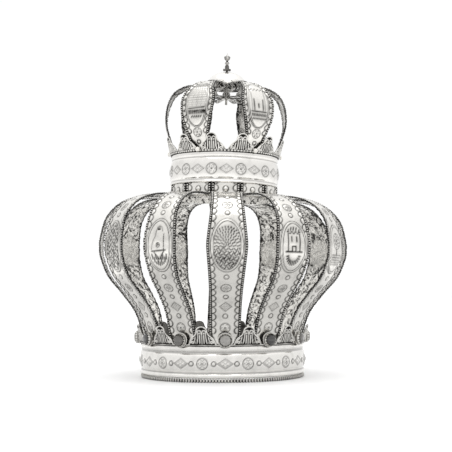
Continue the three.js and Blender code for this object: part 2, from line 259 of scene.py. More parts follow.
bpy.ops.object.select_all(action="DESELECT")
bpy.ops.mesh.primitive_uv_sphere_add(segments=8, ring_count=6, radius=FOOT_BEAD * MM,
                                     location=(0, -FOOT_RADIUS * MM, FOOT_BEAD * MM))
foot = bpy.context.active_object
bpy.ops.object.transform_apply(location=True)
turn = bpy.data.objects.new("turn", None)
turn.rotation_euler.z = 2 * pi / FOOT_BEADS
bpy.context.scene.collection.objects.link(turn)
repeat = foot.modifiers.new("beads", "ARRAY")
repeat.count = FOOT_BEADS
repeat.use_relative_offset = False
repeat.use_object_offset = True
repeat.offset_object = turn
bpy.ops.object.modifier_apply(modifier="beads")
bpy.data.objects.remove(turn)
azimuth, radius = polar(places(foot))
gap = (azimuth / (2 * pi / FOOT_BEADS) + 0.5) % 1 - 0.5
height = places(foot)[:, 2]
# Painted shade: each bead darker in the gaps between beads, on its underside and on its side towards the
# crown, under the band.
tarnish(foot, np.clip(3.4 * abs(gap) - 0.5, 0, 1) + np.clip((1.2 - height) / 2, 0, 0.5)
        + np.clip((FOOT_RADIUS - radius) / 2, 0, 0.6))
finish_piece(foot, "foot_beads", chased_silver, "chased_silver", "foot_bead_wire")

# ---------------------------------------------------------------------------------------------
# Base band: one strip of sheet rolled into a ring, its lip and mouldings turned in and its
# bulged middle chased with rosettes and hatched lozenges before it was polished.
BAND_FACE = [[87.2, 4.3], [88.9, 5.2], [89.3, 6.6], [88.7, 8.3], [87.6, 9.3], [88.5, 11.2], [89.5, 14],
             [90.2, 19.5], [89.5, 25], [88.4, 28.4], [87.5, 29.2], [87.5, 30.9], [88.5, 32.1],
             [89, 34], [88.4, 36.3]]
BAND_BACK = [[82.8, 36.3], [82.8, 35.2], [86.3, 35.2], [87.4, 29], [89, 19.5], [87, 12], [86.1, 9.3],
             [86.1, 4.3]]
OPENED = 1.3  # the buff widens each struck line by this much


class Chasing:
    """A chaser's work on one sheet: x and y in millimetres, how high each spot is, how dark."""

    def __init__(self, x, y):
        self.x, self.y = x, y
        self.height = np.zeros(len(x))
        self.dark = np.zeros(len(x))

    def cut(self, distance, width=0.55, depth=0.4, dark=1.0):
        line = np.exp(-(distance / width) ** 2)
        self.height -= depth * line
        self.dark = np.maximum(self.dark, dark * line)

    def swell(self, inside, rise, edge=1.5):
        self.height += rise * np.sin(np.clip(inside / edge, 0, 1) * pi / 2)

    # Darkens spots without cutting them: used for painted shade under the wires, between beads and at the
    # cresting foot, and for the dark palmette ground.
    def stain(self, where, dark):
        self.dark = np.maximum(self.dark, dark * where)

    def stroke(self, x0, y0, x1, y1, width=0.5, depth=0.35, dark=1.0):
        run = np.array([x1 - x0, y1 - y0])
        along = np.clip(((self.x - x0) * run[0] + (self.y - y0) * run[1]) / max(run @ run, 1e-9), 0, 1)
        distance = np.hypot(self.x - x0 - along * run[0], self.y - y0 - along * run[1])
        self.cut(distance, OPENED * width, depth, dark)


def rosette(work, x, y, radius, petals=6):
    """A flower in a ring."""
    reach, angle = np.hypot(work.x - x, work.y - y), np.arctan2(work.y - y, work.x - x)
    leaf = radius * (0.58 + 0.17 * np.cos(petals * angle))
    work.cut(reach - radius, 0.5, 0.4, 0.9)
    work.cut(reach - leaf, 0.45, 0.3, 0.75)
    work.swell(leaf - reach, 0.6)
    work.cut(reach - 0.14 * radius, 0.45, 0.3, 0.9)


def ringlet(work, x, y, radius):
    reach = np.hypot(work.x - x, work.y - y)
    work.cut(reach - radius, 0.5, 0.4)
    work.swell(radius - reach, 0.5)


def lozenge(work, x, y, across, along, hatch):
    """A diamond filled with crossed lines."""
    p, q = (work.x - x) / across, (work.y - y) / along
    size = across * along / np.hypot(across, along)
    edge = (abs(p) + abs(q) - 1) * size
    work.cut(edge, 0.45, 0.4, 0.75)
    work.swell(-edge, 0.4)
    for turn_of in (p + q, p - q):
        line = (turn_of * hatch / 2 + 0.5) % 1 - 0.5
        work.cut(np.where(edge < -0.3, line * 2 / hatch * size, 9), 0.3, 0.2, 0.5)


def spline(knots, spacing):
    """A smooth run of points through the knots, a little under the spacing apart."""
    knots = np.array(knots, float)
    ends = np.vstack([2 * knots[0] - knots[1], knots, 2 * knots[-1] - knots[-2]])
    run = []
    for a, b, c, d in zip(ends, ends[1:], ends[2:], ends[3:]):
        t = np.linspace(0, 1, 30, endpoint=False)[:, None]
        run.append((2 * t**3 - 3 * t**2 + 1) * b + (t**3 - 2 * t**2 + t) * (c - a) / 2
                   + (3 * t**2 - 2 * t**3) * c + (t**3 - t**2) * (d - b) / 2)
    run = np.vstack(run + [knots[-1:]])
    length = np.r_[0, np.cumsum(np.hypot(*np.diff(run[:, :2], axis=0).T))]
    even = np.linspace(0, length[-1], int(length[-1] / spacing) + 2)
    return np.stack([np.interp(even, length, column) for column in run.T], -1), even


def spun(outline, steps):
    """Turns a closed outline of (radius, height) once round the axis."""
    bpy.ops.object.select_all(action="DESELECT")
    bpy.ops.mesh.primitive_circle_add(vertices=len(outline), radius=0.1)
    ring = bpy.context.active_object
    move_to(ring, [[r, 0, z] for r, z in outline])
    bpy.ops.object.mode_set(mode="EDIT")
    bpy.ops.mesh.select_all(action="SELECT")
    bpy.ops.mesh.spin(steps=steps, angle=2 * pi, center=(0, 0, 0), axis=(0, 0, 1))
    bpy.ops.object.mode_set(mode="OBJECT")
    close_up(ring)
    return ring


def chased_band(face, back, steps, wall, engrave):
    """A spun band whose outer face takes the engraving; the wall line parts face from back."""
    face = spline(face, 0.9)[0]
    band = spun(np.vstack([face, back]), steps)
    points = places(band)
    azimuth, radius = polar(points)
    outside = radius > np.interp(points[:, 2], *zip(*[(z, r) for r, z in wall]))
    work = Chasing(azimuth, points[:, 2])
    engrave(work)
    radius += np.where(outside, work.height, 0)
    move_to(band, around(azimuth, radius, points[:, 2]))
    tarnish(band, np.where(outside, work.dark, 0.3))
    return band


def band_motifs(work, middle, reach, sizes):
    """Rosettes and lozenges in turn round a band, with a small ring between each two."""
    rose, across, along, small = sizes
    for k in range(24):
        offset = (work.x - radians(15 * k) + pi) % (2 * pi) - pi
        near = abs(offset) < radians(11)
        part = Chasing(offset[near] * reach, work.y[near])
        if k % 2:
            rosette(part, 0, middle, rose)
        else:
            lozenge(part, 0, middle, across, along, 3)
        if small:
            ringlet(part, radians(7.5) * reach, middle, small)
        work.height[near] += part.height
        work.dark[near] = np.maximum(work.dark[near], part.dark)


def engrave_base(work):
    band_motifs(work, 19.2, 90, (5.6, 8, 5, 2.3))
    for line, dark in ((9.3, 0.8), (29.6, 0.55), (31.0, 0.55)):
        work.cut(work.y - line, 0.5, 0.1, dark)


base = chased_band(BAND_FACE, BAND_BACK, 600, [(86.6, 4), (86.6, 10), (88, 13.5), (89.5, 19.5), (88, 26),
                                              (86.9, 30), (86.9, 35)], engrave_base)
finish_piece(base, "base_band_chased", polished_silver, "polished_silver", "base_band")

# ---------------------------------------------------------------------------------------------
# Base cresting: a strip of heavier silver pierced along its top into twelve palmettes, each with
# two scrolls over hanging tendrils and a raised rim, and soldered on the band leaning outwards.
TENDRILS = [(4.1, 14.4, 4.2, 8), (4.2, 8, 5, 3.4), (0, 11.4, 0, 3), (0.6, 14.4, 0, 12), (2.2, 11, 2.3, 3.4),
            (6.6, 9.4, 7.4, 6), (7.4, 6, 7.2, 3.4), (8.8, 8.2, 11.2, 6), (11.2, 6, 11.8, 3.6)]
BEAD_STEP = 3.3  # from bead to bead along the foot of the upper cresting
BASE_PALMETTE = [(0, 20.4), (2.4, 20), (4.2, 18.9), (5.4, 17), (5.9, 14.6), (6.4, 12.6), (8, 11), (10, 9.6),
                 (12, 7.6), (13.2, 5.4), (13.9, 3.4), (14.2, 1.8), (23.1, 1.7)]


def flat_plate(columns, rows, open_ends=False):
    """A closed plate from -1 to 1 both ways: fine squares on its face, coarser ones on its back."""
    bpy.ops.object.select_all(action="DESELECT")
    bpy.ops.mesh.primitive_grid_add(x_subdivisions=columns, y_subdivisions=rows, size=2)
    face = bpy.context.active_object
    bpy.ops.object.select_all(action="DESELECT")
    bpy.ops.mesh.primitive_grid_add(x_subdivisions=columns // 2, y_subdivisions=rows // 2, size=2,
                                    location=(0, 0, -1))
    select_only(face, bpy.context.active_object)
    bpy.ops.object.join()
    bpy.ops.object.mode_set(mode="EDIT")
    bpy.ops.mesh.select_mode(type="EDGE")
    bpy.ops.mesh.select_all(action="DESELECT")
    bpy.ops.mesh.select_non_manifold()
    bpy.ops.mesh.bridge_edge_loops()
    bpy.ops.mesh.select_all(action="SELECT")
    bpy.ops.mesh.normals_make_consistent(inside=False)
    bpy.ops.mesh.select_all(action="DESELECT")
    bpy.ops.mesh.select_mode(type="FACE")
    bpy.ops.object.mode_set(mode="OBJECT")
    if open_ends:
        for polygon in face.data.polygons:
            polygon.select = abs(polygon.normal.x) > 0.9
        bpy.ops.object.mode_set(mode="EDIT")
        bpy.ops.mesh.delete(type="FACE")
        bpy.ops.object.mode_set(mode="OBJECT")
    return face


def lean(points):
    """The settled crown: a steady bend towards +X over the straps, and a straight tip above."""
    tip, low, high = radians(1.7), 36.0, 195.0
    bent = np.clip(points[:, 2] - low, 0, high - low)
    angle = tip * bent / (high - low)
    rest = points[:, 2] - low - bent
    curve = (high - low) / tip
    return np.stack([curve * (1 - np.cos(angle)) + rest * np.sin(angle) + points[:, 0] * np.cos(angle),
                     points[:, 1],
                     low + curve * np.sin(angle) + rest * np.cos(angle) - points[:, 0] * np.sin(angle)], -1)


def palmette_work(work, outline, scale, foot):
    """Chasing inside one palmette, above its foot: rim, two scrolls, hanging tendrils and leaf curls."""
    half = np.array(outline, float)
    line = np.vstack([half[::-1] * [-1, 1], half[1:]])
    fine = np.stack([np.interp(np.linspace(0, 1, 150), np.linspace(0, 1, len(line)), c) for c in line.T], -1)
    inset = np.min(np.hypot(work.x[:, None] - fine[:, 0], work.y[:, None] - fine[:, 1]), axis=1)
    inside = np.clip((inset - scale) / 0.3, 0, 1) * np.clip((work.y - foot) / 0.4, 0, 1)
    work.swell(inset, 0.3, 0.7)
    # The ground goes dark, and the scrolls and tendrils stand up from it bright.
    x, y = abs(work.x) / scale, work.y / scale
    arch = abs(np.hypot(x - 2.35, y - 14.4) - 1.75)
    strand = np.minimum(np.where(y > 14.4, arch, 9.0), abs(np.hypot(x - 2.2, y - 13.2) - 0.3))
    for x0, y0, x1, y1 in TENDRILS:
        run = np.array([x1 - x0, y1 - y0])
        along = np.clip(((x - x0) * run[0] + (y - y0) * run[1]) / (run @ run), 0, 1)
        strand = np.minimum(strand, np.hypot(x - x0 - along * run[0], y - y0 - along * run[1]))
    strand = np.minimum(strand, abs(np.hypot(x - 9.6, y - 4.2) - 1.0))
    ground = np.clip((strand - 0.42) / 0.28, 0, 1) * inside
    work.height -= 0.7 * ground
    work.stain(ground, 1.0)


def cresting(outline, inner, slope, foot, columns, rows, scale, beads, leaning=True):
    plate = flat_plate(12 * columns, rows, open_ends=True)
    flat = places(plate) * MM
    azimuth = flat[:, 0] * pi
    pitch = 2 * pi / 12
    near = (azimuth % pitch - pitch / 2) * inner
    top = np.interp(abs(near), *zip(*outline))
    height = (flat[:, 1] + 1) / 2 * top
    work = Chasing(near, height)
    if beads:
        row = np.hypot(((near / BEAD_STEP + 0.5) % 1 - 0.5) * BEAD_STEP / 1.2, (height - 1.5) / 0.85)
        work.swell(1.1 - row, 0.4, 1)
        # Painted shade in the gaps between the beads of the foot row.
        work.stain(np.clip((row - 0.8) / 0.4, 0, 1) * (height < 2.7), 1)
    else:
        # Painted shade along the foot, where the strip meets the band.
        work.stain(np.clip((1.4 - height) / 0.5, 0, 1), 0.8)
    palmette_work(work, outline, scale, 2.7 if beads else 1.2)
    face = flat[:, 2] > -0.5
    radius = inner + slope * height + np.where(face, 1.1 + work.height, 0.0)
    points = around(azimuth, radius, foot + height)
    move_to(plate, lean(points) if leaning else points)
    # The back of the strip gets painted shade, as it faces into the crown.
    tarnish(plate, np.where(face, work.dark, 0.75))
    close_up(plate)
    return plate


base_crest = cresting(BASE_PALMETTE, 88, 0.265, 36.6, 76, 32, 1.0, beads=False)
finish_piece(base_crest, "base_cresting_chased", chased_silver, "chased_silver", "base_cresting")

# ---------------------------------------------------------------------------------------------
# Twelve straps: silver sheet embossed from behind on pitch, each with an oval medallion at its
# belly, half-moons along both sides, and a beaded wire soldered on both edges.
# Stations are radius, height and width over the wires, in millimetres.
STRAP_STATIONS = [[86.2, 36.6, 32], [88.2, 50, 32.2], [95.5, 70, 32.6], [109.5, 89, 33.6], [124.5, 107, 36],
                  [132.8, 127, 39.8], [134, 137, 41.2], [133.6, 147, 39.8], [128, 168.5, 35],
                  [114.5, 184.2, 32.2], [96.5, 192.2, 31.8], [77, 194.6, 31], [60.6, 194.8, 29.4]]
STRAP_NECK = [[58.2, 195.6, 29.2], [58.2, 205.5, 29.2]]
STRAP_OFFSETS = {7: (-2.8, 0), 8: (-4.7, 0), 9: (-5.9, 0), 12: (0, -8)}  # swing and turn, degrees
SHEET, WIRE_BEAD, BEAD_PITCH = 1.1, 1.25, 2.5
BEAD_GAP = 0.28  # share of the pitch left between two beads, where the painted shade on the sheet shows
SHOULDER_AT, NECK_AT, BOSS_AT = 223, 224, 229.5  # lengths along a strap
STRAP_PLAQUE = (113.4, 16.2, 27.0)  # middle along the strap, half width, half height


class Path:
    """The line of a strap: radius, height, width and outward direction at a distance along it."""

    def __init__(self, stations, neck=()):
        run = spline(stations, 0.5)[0]
        if len(neck):
            run = np.vstack([run, spline([run[-1], *neck], 0.5)[0][1:]])
        self.s = np.r_[0, np.cumsum(np.hypot(*np.diff(run[:, :2], axis=0).T))]
        self.run = run
        tangent = np.gradient(run[:, :2], self.s, axis=0)
        smooth = np.ones(5) / 5
        tangent = np.stack([np.convolve(np.pad(t, 2, mode="edge"), smooth, "valid") for t in tangent.T], -1)
        tangent /= np.hypot(*tangent.T)[:, None]
        self.out = np.stack([tangent[:, 1], -tangent[:, 0]], -1)
        self.length = self.s[-1]

    def width(self, s):
        return np.interp(s, self.s, self.run[:, 2])

    def bend(self, u, s, h, azimuth, swing=0, turn=0, shoulder=1e9):
        """Lays flat points (across, along, up from the wires' top) on the strap's place."""
        share = np.radians(np.where(s < shoulder, np.sin(pi * np.clip(s / shoulder, 0, 1)), 0))
        here = azimuth + swing * share
        facing = here + turn * share
        r, z = (np.interp(s, self.s, self.run[:, i]) for i in (0, 1))
        out_r, out_z = (np.interp(s, self.s, self.out[:, i]) for i in (0, 1))
        points = around(here, r, z) + around(facing, out_r * h, out_z * h)
        points[:, 0] += u * np.cos(facing)
        points[:, 1] += u * np.sin(facing)
        return lean(points)


def edge_beads(until):
    """One strap's two rows of beads, laid flat: x from the row's middle, told apart by its sign."""
    bpy.ops.object.select_all(action="DESELECT")
    bpy.ops.mesh.primitive_uv_sphere_add(segments=8, ring_count=4, radius=1)
    bead = bpy.context.active_object
    bpy.ops.object.mode_set(mode="EDIT")
    bpy.ops.transform.rotate(value=pi / 2, orient_axis="X", center_override=(0, 0, 0))
    bpy.ops.transform.translate(value=(100, 1, 0))
    bpy.ops.object.mode_set(mode="OBJECT")
    row = bead.modifiers.new("row", "ARRAY")
    row.count = int(until / BEAD_PITCH)
    row.use_relative_offset = False
    row.use_constant_offset = True
    row.constant_offset_displace = (0, 2, 0)
    bpy.ops.object.modifier_apply(modifier="row")
    sides = bead.modifiers.new("sides", "MIRROR")
    sides.use_mirror_merge = False
    bpy.ops.object.modifier_apply(modifier="sides")
    return bead


def scallops(work, edge, first, last, pitch, deep, clear):
    """Half-moons pushed up along the edge wires, where there is room beside the medallion."""
    t = ((work.y - first) / pitch % 1 - 0.5) * pitch
    reach = (np.hypot(t / (pitch / 2), edge / deep) - 1) * (pitch / 2 + deep) / 2
    room = (work.y > first) & (work.y < last) & (clear > 0.9)
    work.cut(np.where(room, reach, 9), 0.6, 0.45, 1.0)
    work.swell(np.where(room, -reach, 0), 0.5)
    # Painted shade on the sheet beside the wire, outside each half-moon.
    work.stain(np.where(room & (reach > 0.3) & (edge < 1.6), 1, 0), 0.85)


def oval(x, y, across, along):
    """Signed distance to an ellipse, near enough close to its line."""
    k = np.maximum(np.hypot(x / across, y / along), 1e-6)
    return (k - 1) * k / np.maximum(np.hypot(x / across**2, y / along**2), 1e-6)


def sheaf(work):
    """A bush of dashes that spread from its foot over rows of crossed straws."""
    for ring in range(8):
        reach, count = 2.5 + 2.5 * ring, 4 + 2 * ring
        for k in range(count):
            angle = pi * (k + 0.5 + 0.25 * (ring % 2)) / count
            x, y = 0.8 * cos(angle), sin(angle)
            work.stroke(x * reach, y * reach - 2, x * (reach + 1.1), y * (reach + 1.1) - 2, 0.6)
    for row in range(8):
        y = -3.4 - 2.7 * row
        for k in range(-5, 6):
            tilt = 0.9 * (-1) ** (k + row) + 0.3 * sin(2.3 * k + 1.7 * row)
            x = 2.5 * k + 1.2 * (row % 2)
            work.stroke(x - 0.6, y - tilt, x + 0.6, y + tilt, 0.56)


def tower(work):
    """A castle tower with battlements, two slots and a door, over a fan of strokes."""
    for side in (-1, 1):
        work.stroke(7 * side, -4, 7 * side, 14, 0.6)
        work.stroke(3 * side, 6, 3 * side, 10.5, 0.7)
        work.stroke(2.2 * side, -4, 2.2 * side, 1, 0.6)
    for k in range(-3, 4):
        work.stroke(2.3 * k - 0.8, 14 + 1.6 * (k % 2), 2.3 * k + 0.8, 14 + 1.6 * (k % 2), 0.6)
    work.stroke(-2.2, 1, 2.2, 1, 0.6)
    work.stroke(-9.5, -4.4, 9.5, -4.4, 0.7)
    for k in range(11):
        x, y = cos(pi * (k + 0.5) / 11), -sin(pi * (k + 0.5) / 11)
        work.stroke(6 * x, 6.5 * y - 8, 8.2 * x, 10.5 * y - 8, 0.62)
    for k in range(-2, 3):
        work.stroke(3.2 * k - 0.5, 17.6 - 0.5 * k * k, 3.2 * k + 0.3, 20.4 - 0.6 * k * k, 0.6)


def domed_house(work):
    """A tall house with a narrow dome, a dotted stair, and a bowl of fruit at its foot."""
    outline = [(-9, -4), (-8.5, 2), (-6.5, 5.5), (-4.4, 9), (-4, 14), (-2.4, 18), (0, 19.5), (2.6, 18),
               (4.2, 14)]
    for a, b in zip(outline, outline[1:]):
        work.stroke(*a, *b, 0.45, 0.35, 0.7)
    for k in range(12):
        work.stroke(6.2, 11 - 1.5 * k, 6.2, 10.6 - 1.5 * k, 0.5)
        x, y = -2 + 0.8 * (k % 4), 15.5 + 1.2 * (k // 4)
        work.stroke(x, y, x + 0.4, y, 0.45)
    rosette(work, -1.2, 0.5, 2.2)
    work.stroke(-9, -5.6, 8.4, -4.4, 0.6)
    work.stroke(-6, -6.6, 0, -14, 0.5)
    work.stroke(6, -6, 0, -14, 0.5)
    for k in range(-4, 5):
        if k:
            work.stroke(2.3 * k, -9 - 3 * (k % 2), 2.1 * k, -13.5 - 3 * (k % 2), 0.6)
    for k in range(-2, 3):
        work.stroke(2.4 * k, -17, 2.2 * k, -20.5 + abs(k), 0.6)


def garden(work):
    """A round fruit tree over a hatched bed."""
    work.cut(np.hypot(work.x, work.y - 9) - 8.4, 0.5, 0.4, 0.8)
    for k in range(20):
        angle, reach = 2.4 * k, 1.65 * k**0.5
        x, y = reach * cos(angle), 9 + reach * sin(angle)
        work.stroke(x, y, x + 0.9, y, 0.6)
    work.stroke(0, 0.5, 0, -5, 0.8)
    for k in range(-4, 5):
        work.stroke(2.6 * k, -5, 2.6 * k, -17, 0.4, 0.3, 0.7)
        work.stroke(-10, -11 + 2.6 * k, 10, -11 + 2.6 * k, 0.4, 0.3, 0.7 if abs(k) < 3 else 0)


def flock(work):
    """Rows of sheaves and leaves scattered over the field."""
    for row in range(-6, 7):
        for k in range(-4, 5):
            x = 2.9 * k + 1.4 * (row % 2) + 0.9 * sin(7.7 * k + 2.3 * row)
            y = 3.5 * row + sin(4.1 * k + row)
            tilt = sin(3.1 * k + 5.3 * row)
            work.stroke(x - 0.7, y - 0.9 * tilt, x + 0.7, y + 0.9 * tilt, 0.75)
            work.stroke(x, y + 1.1, x + 0.5 * tilt, y + 1.7, 0.5, 0.3, 0.7)


def gate(work):
    """A gate of two pillars with a slot between them, over a step with small figures under it."""
    for side in (-1, 1):
        work.stroke(5.4 * side, -8, 5.6 * side, 4, 0.6)
        work.stroke(8 * side, -8, 8 * side, 16, 0.45, 0.3, 0.6)
    work.stroke(0, -5, 0, -1, 0.7)
    work.stroke(-9, -9.4, 9, -9.4, 0.7)
    for k in range(-4, 5):
        work.stroke(2.1 * k, -12, 2.1 * k + 0.8, -14, 0.7)
        work.stroke(2 * k, 15 + 1.5 * (k % 2), 2 * k + 0.6, 15.4 + 1.5 * (k % 2), 0.5)
        work.stroke(1.9 * k, -17.4, 1.9 * k + 0.7, -16.4, 0.6)


def wall(work):
    """A wall of squared stones with leaves over it and a row of small figures before it."""
    for row in range(9):
        y = -6 + 2.6 * row
        work.stroke(-10.5, y, 10.5, y, 0.36, 0.25, 0.5)
        for k in range(-4, 5):
            x = 2.6 * k + 1.3 * (row % 2)
            work.stroke(x, y, x, y + 2.6, 0.36, 0.25, 0.4)
    work.stroke(-9.5, -7.6, 9.5, -6.8, 0.6)
    for k in range(-4, 5):
        work.stroke(2.2 * k, -9.6, 2.2 * k + 0.6, -13, 0.7)
        work.stroke(2.2 * k + 0.9, -10, 2.2 * k + 1.2, -11, 0.5)
        work.stroke(2.3 * k - 1, 18, 2.3 * k + 1.3, 23, 0.55)
    for k in range(-2, 3):
        work.stroke(2.6 * k, -17, 2.6 * k + 1, -15.6, 0.6)


def medallion(work, at, across, along, picture, raised=0.75, rim=2.5):
    """A raised oval with a double rim, and the picture chased inside it."""
    x, y = work.x, work.y - at
    edge = oval(x, y, across, along)
    work.height[edge < 0] = 0
    work.dark[edge < 0] = 0
    work.swell(-edge, raised, 1.2)
    work.cut(edge, 0.5, 0.3, 0.9)
    work.cut(edge + rim, 0.5, 0.45, 0.95)
    inside = edge < -rim
    field = Chasing(x[inside], y[inside])
    picture(field)
    fade = np.clip((-edge[inside] - rim) / 0.8, 0, 1)
    work.height[inside] += field.height * fade
    work.dark[inside] = np.maximum(work.dark[inside], field.dark * fade)


def embossed_strap(name, node, path, blank, beads, azimuth, decorate, plaque, offsets=(0, 0), shoulder=1e9):
    """One strap: the sheet with its chasing and the beads of its edges, bent to its place.

    The plaque is its middle along the strap and its two half widths; behind it the sheet is plain."""
    strap = blank.copy()
    strap.data = blank.data.copy()
    bpy.context.scene.collection.objects.link(strap)
    flat = places(strap) * MM
    s = (flat[:, 1] + 1) / 2 * path.length
    u = flat[:, 0] * (path.width(s) / 2 - 0.15)
    face = flat[:, 2] > -0.5
    work = Chasing(u, s)
    edge = path.width(s) / 2 - abs(u) - 2 * WIRE_BEAD
    decorate(work, edge)
    bow = 0.5 * (1 - flat[:, 0] ** 2)
    h = np.where(face, -SHEET, -2 * SHEET) + work.height * np.where(face, 1, 0.8) + bow
    move_to(strap, path.bend(u, s, h, azimuth, *offsets, shoulder))
    plain = oval(u, s - plaque[0], plaque[1] + 2, plaque[2] * 0.6)
    tarnish(strap, np.where(face, work.dark, 0.06 + 0.6 * work.dark * (plain > 0)),
            np.where(face, 0, 0.35 + 0.65 * np.clip(plain / 3, 0, 1)))
    wires = beads.copy()
    wires.data = beads.data.copy()
    bpy.context.scene.collection.objects.link(wires)
    ball = places(wires) * MM
    side = np.sign(ball[:, 0])
    along = ball[:, 1] % 2 - 1
    x, z = (abs(ball[:, 0]) - 100) * WIRE_BEAD, ball[:, 2] * WIRE_BEAD
    s = (ball[:, 1] - BEAD_GAP * along) * BEAD_PITCH / 2
    u = side * (path.width(s) / 2 - WIRE_BEAD + x)
    move_to(wires, path.bend(u, s, z - WIRE_BEAD, azimuth, *offsets, shoulder))
    # Painted shade on the beads: darker towards each bead's ends, on its underside and on its outer side,
    # and half as dark on the neck.
    soot = (np.clip(1.2 * abs(along) - 0.3, 0, 1) + np.clip(-1.5 * ball[:, 2], 0, 1)
            + np.clip(0.7 * (abs(ball[:, 0]) - 100), 0, 0.6))
    tarnish(wires, soot * np.where(s > NECK_AT, 0.5, 1))
    select_only(strap, wires)
    bpy.ops.object.join()
    finish_piece(strap, name, chased_silver, "chased_silver", node)


lower_path = Path(STRAP_STATIONS, STRAP_NECK)
lower_blank = flat_plate(40, 256)
lower_beads = edge_beads(lower_path.length)
LOWER_PICTURES = [sheaf, tower, garden, gate, flock, wall, sheaf, domed_house, tower, garden, flock,
                  domed_house]


def lower_chasing(picture):
    def decorate(work, edge):
        clear = oval(work.x, work.y - STRAP_PLAQUE[0], *STRAP_PLAQUE[1:])
        work.cut(edge - 0.1, 0.6, 0.3, 1.0)
        # Painted shade on the sheet under the beaded wires, seen between the beads.
        work.stain(edge < 0, 1)
        scallops(work, edge, 12, 236, 7.4, 4.4, clear)
        for at in (18.8, 66.3, 157.5):
            rosette(work, 0, at, 5)
        for at in (31.5, 55, 80.5, 147, 171):
            ringlet(work, 0, at, 2.4)
        ringlet(work, 0, BOSS_AT, 3)
        work.swell(3 - np.hypot(work.x, work.y - BOSS_AT), 1.0, 2.5)
        rosette(work, 0, 188, 5)
        ringlet(work, 0, 205, 2.4)
        lozenge(work, 0, 42.5, 6.2, 5.6, 4)
        medallion(work, *STRAP_PLAQUE, picture)
    return decorate


for number, picture in enumerate(LOWER_PICTURES, 1):
    node = f"strap_{number:02d}"
    embossed_strap(f"{node}_chased", node, lower_path, lower_blank, lower_beads,
                   2 * pi * (number - 1) / 12, lower_chasing(picture), STRAP_PLAQUE,
                   STRAP_OFFSETS.get(number, (0, 0)), SHOULDER_AT)
bpy.data.objects.remove(lower_blank)
bpy.data.objects.remove(lower_beads)

# ---------------------------------------------------------------------------------------------
# Stones: twelve round glass stones cut in facets, in three colours in turn, each held by the
# toothed edge of a silver cup with a stepped collar behind it.
STONE_Z, STONE_BACK = 42.9, 89.9


def cut_glass(name, colour):
    """Foil-backed paste: dark glass with a hard gloss."""
    glass = bpy.data.materials.new(name)
    glass.use_nodes = True
    tree = glass.node_tree
    shader = tree.nodes["Principled BSDF"]
    place = add_node(tree, "ShaderNodeTexCoord").outputs["Object"]
    cloud = add_node(tree, "ShaderNodeTexNoise", {"Vector": place, "Scale": 260, "Detail": 1})
    mix = add_node(tree, "ShaderNodeMix", {
        0: cloud.outputs["Fac"], 6: srgb(colour[0]), 7: srgb(colour[1])}, data_type="RGBA")
    tree.links.new(mix.outputs[2], shader.inputs["Base Color"])
    shader.inputs["Roughness"].default_value = 0.08
    shader.inputs["IOR"].default_value = 1.6
    shader.inputs["Coat Weight"].default_value = 0.6
    return glass


STONE_KINDS = [("pale_stone", cut_glass("pale_paste", ("9A9894", "7F7D79"))),
               ("deep_stone", cut_glass("deep_paste", ("161514", "2E2C2A"))),
               ("mid_stone", cut_glass("mid_paste", ("4A4845", "5E5B57")))]


def on_base(points, azimuth, back, height):
    """Turns a part made facing +Z so that it faces outwards at its place round the crown."""
    x, y, z = np.asarray(points, float).T
    placed = around(azimuth, back + z, height + y)
    placed[:, 0] += x * np.cos(azimuth)
    placed[:, 1] += x * np.sin(azimuth)
    return placed


def copy_of(obj):
    twin = obj.copy()
    twin.data = obj.data.copy()
    bpy.context.scene.collection.objects.link(twin)
    return twin


gem = spun([[0, 1.5], [5.4, 3.8], [5.5, 4.5], [4.3, 5.6], [2.6, 6.0], [0, 6.0]], 10)
cup = spun([[0, 0], [7.6, 0], [7.7, 1.0], [6.7, 1.2], [6.6, 1.9], [6.9, 2.4], [6.5, 3.6], [6.2, 4.2],
            [5.7, 3.6], [0, 1]], 56)
points = places(cup)
angle = np.arctan2(points[:, 1], points[:, 0])
reach = np.hypot(points[:, 0], points[:, 1])
teeth = np.where(points[:, 2] > 3, 0.35 * np.cos(14 * angle), 0)
move_to(cup, points + np.stack([teeth * 0, teeth * 0, teeth], -1))
groove = (reach > 6.4) & (reach < 6.8) & (points[:, 2] < 2.2)
cup_dark = np.where(groove, 0.6, 0.05) + np.where(teeth < -0.1, 0.8, 0)
for number in range(1, 13):
    azimuth = 2 * pi * (number - 1) / 12
    setting = copy_of(cup)
    move_to(setting, on_base(places(cup), azimuth, STONE_BACK, STONE_Z))
    tarnish(setting, cup_dark)
    finish_piece(setting, f"setting_{number:02d}", chased_silver, "chased_silver", f"bezel_{number:02d}",
                 angle=40)
    stone = copy_of(gem)
    move_to(stone, on_base(places(gem), azimuth, STONE_BACK, STONE_Z))
    slot, glass = STONE_KINDS[(number - 1) % 3]
    finish_piece(stone, f"cut_stone_{number:02d}", glass, slot, f"stone_{number:02d}", angle=15)
bpy.data.objects.remove(gem)
bpy.data.objects.remove(cup)

# ---------------------------------------------------------------------------------------------
# Collar and upper band: a plain ring inside the straps' ends, screwed through them, and the
# chased ring of the small crown that stands on it.
UPPER_FACE = [[54.2, 205.8], [58.8, 205.8], [59.5, 207.4], [58.4, 209.2], [59.3, 212], [59.9, 216],
              [60, 221], [59.6, 226], [58.6, 230.6], [57.7, 232.6], [58.2, 233.6], [58.7, 235.2],
              [58.6, 237.6]]
UPPER_BACK = [[52.8, 237.6], [52.8, 236.5], [56.3, 236.5], [58.5, 220], [57, 207.2], [54.2, 207.2]]

collar = spun([[54.4, 191.5], [55.5, 191.5], [55.5, 198], [55.5, 205.4], [54.4, 205.4], [54.4, 201],
               [54.4, 196]], 180)
points = places(collar)
azimuth, radius = polar(points)
hole = np.hypot(((azimuth / radians(30)) % 1 - 0.5) * radians(30) * 55, points[:, 2] - 198.5)
tarnish(collar, 0.12 + np.clip(3 - hole, 0, 1), np.where(radius < 55, 1, 0))
move_to(collar, lean(points))
finish_piece(collar, "collar_ring", chased_silver, "chased_silver", "collar")


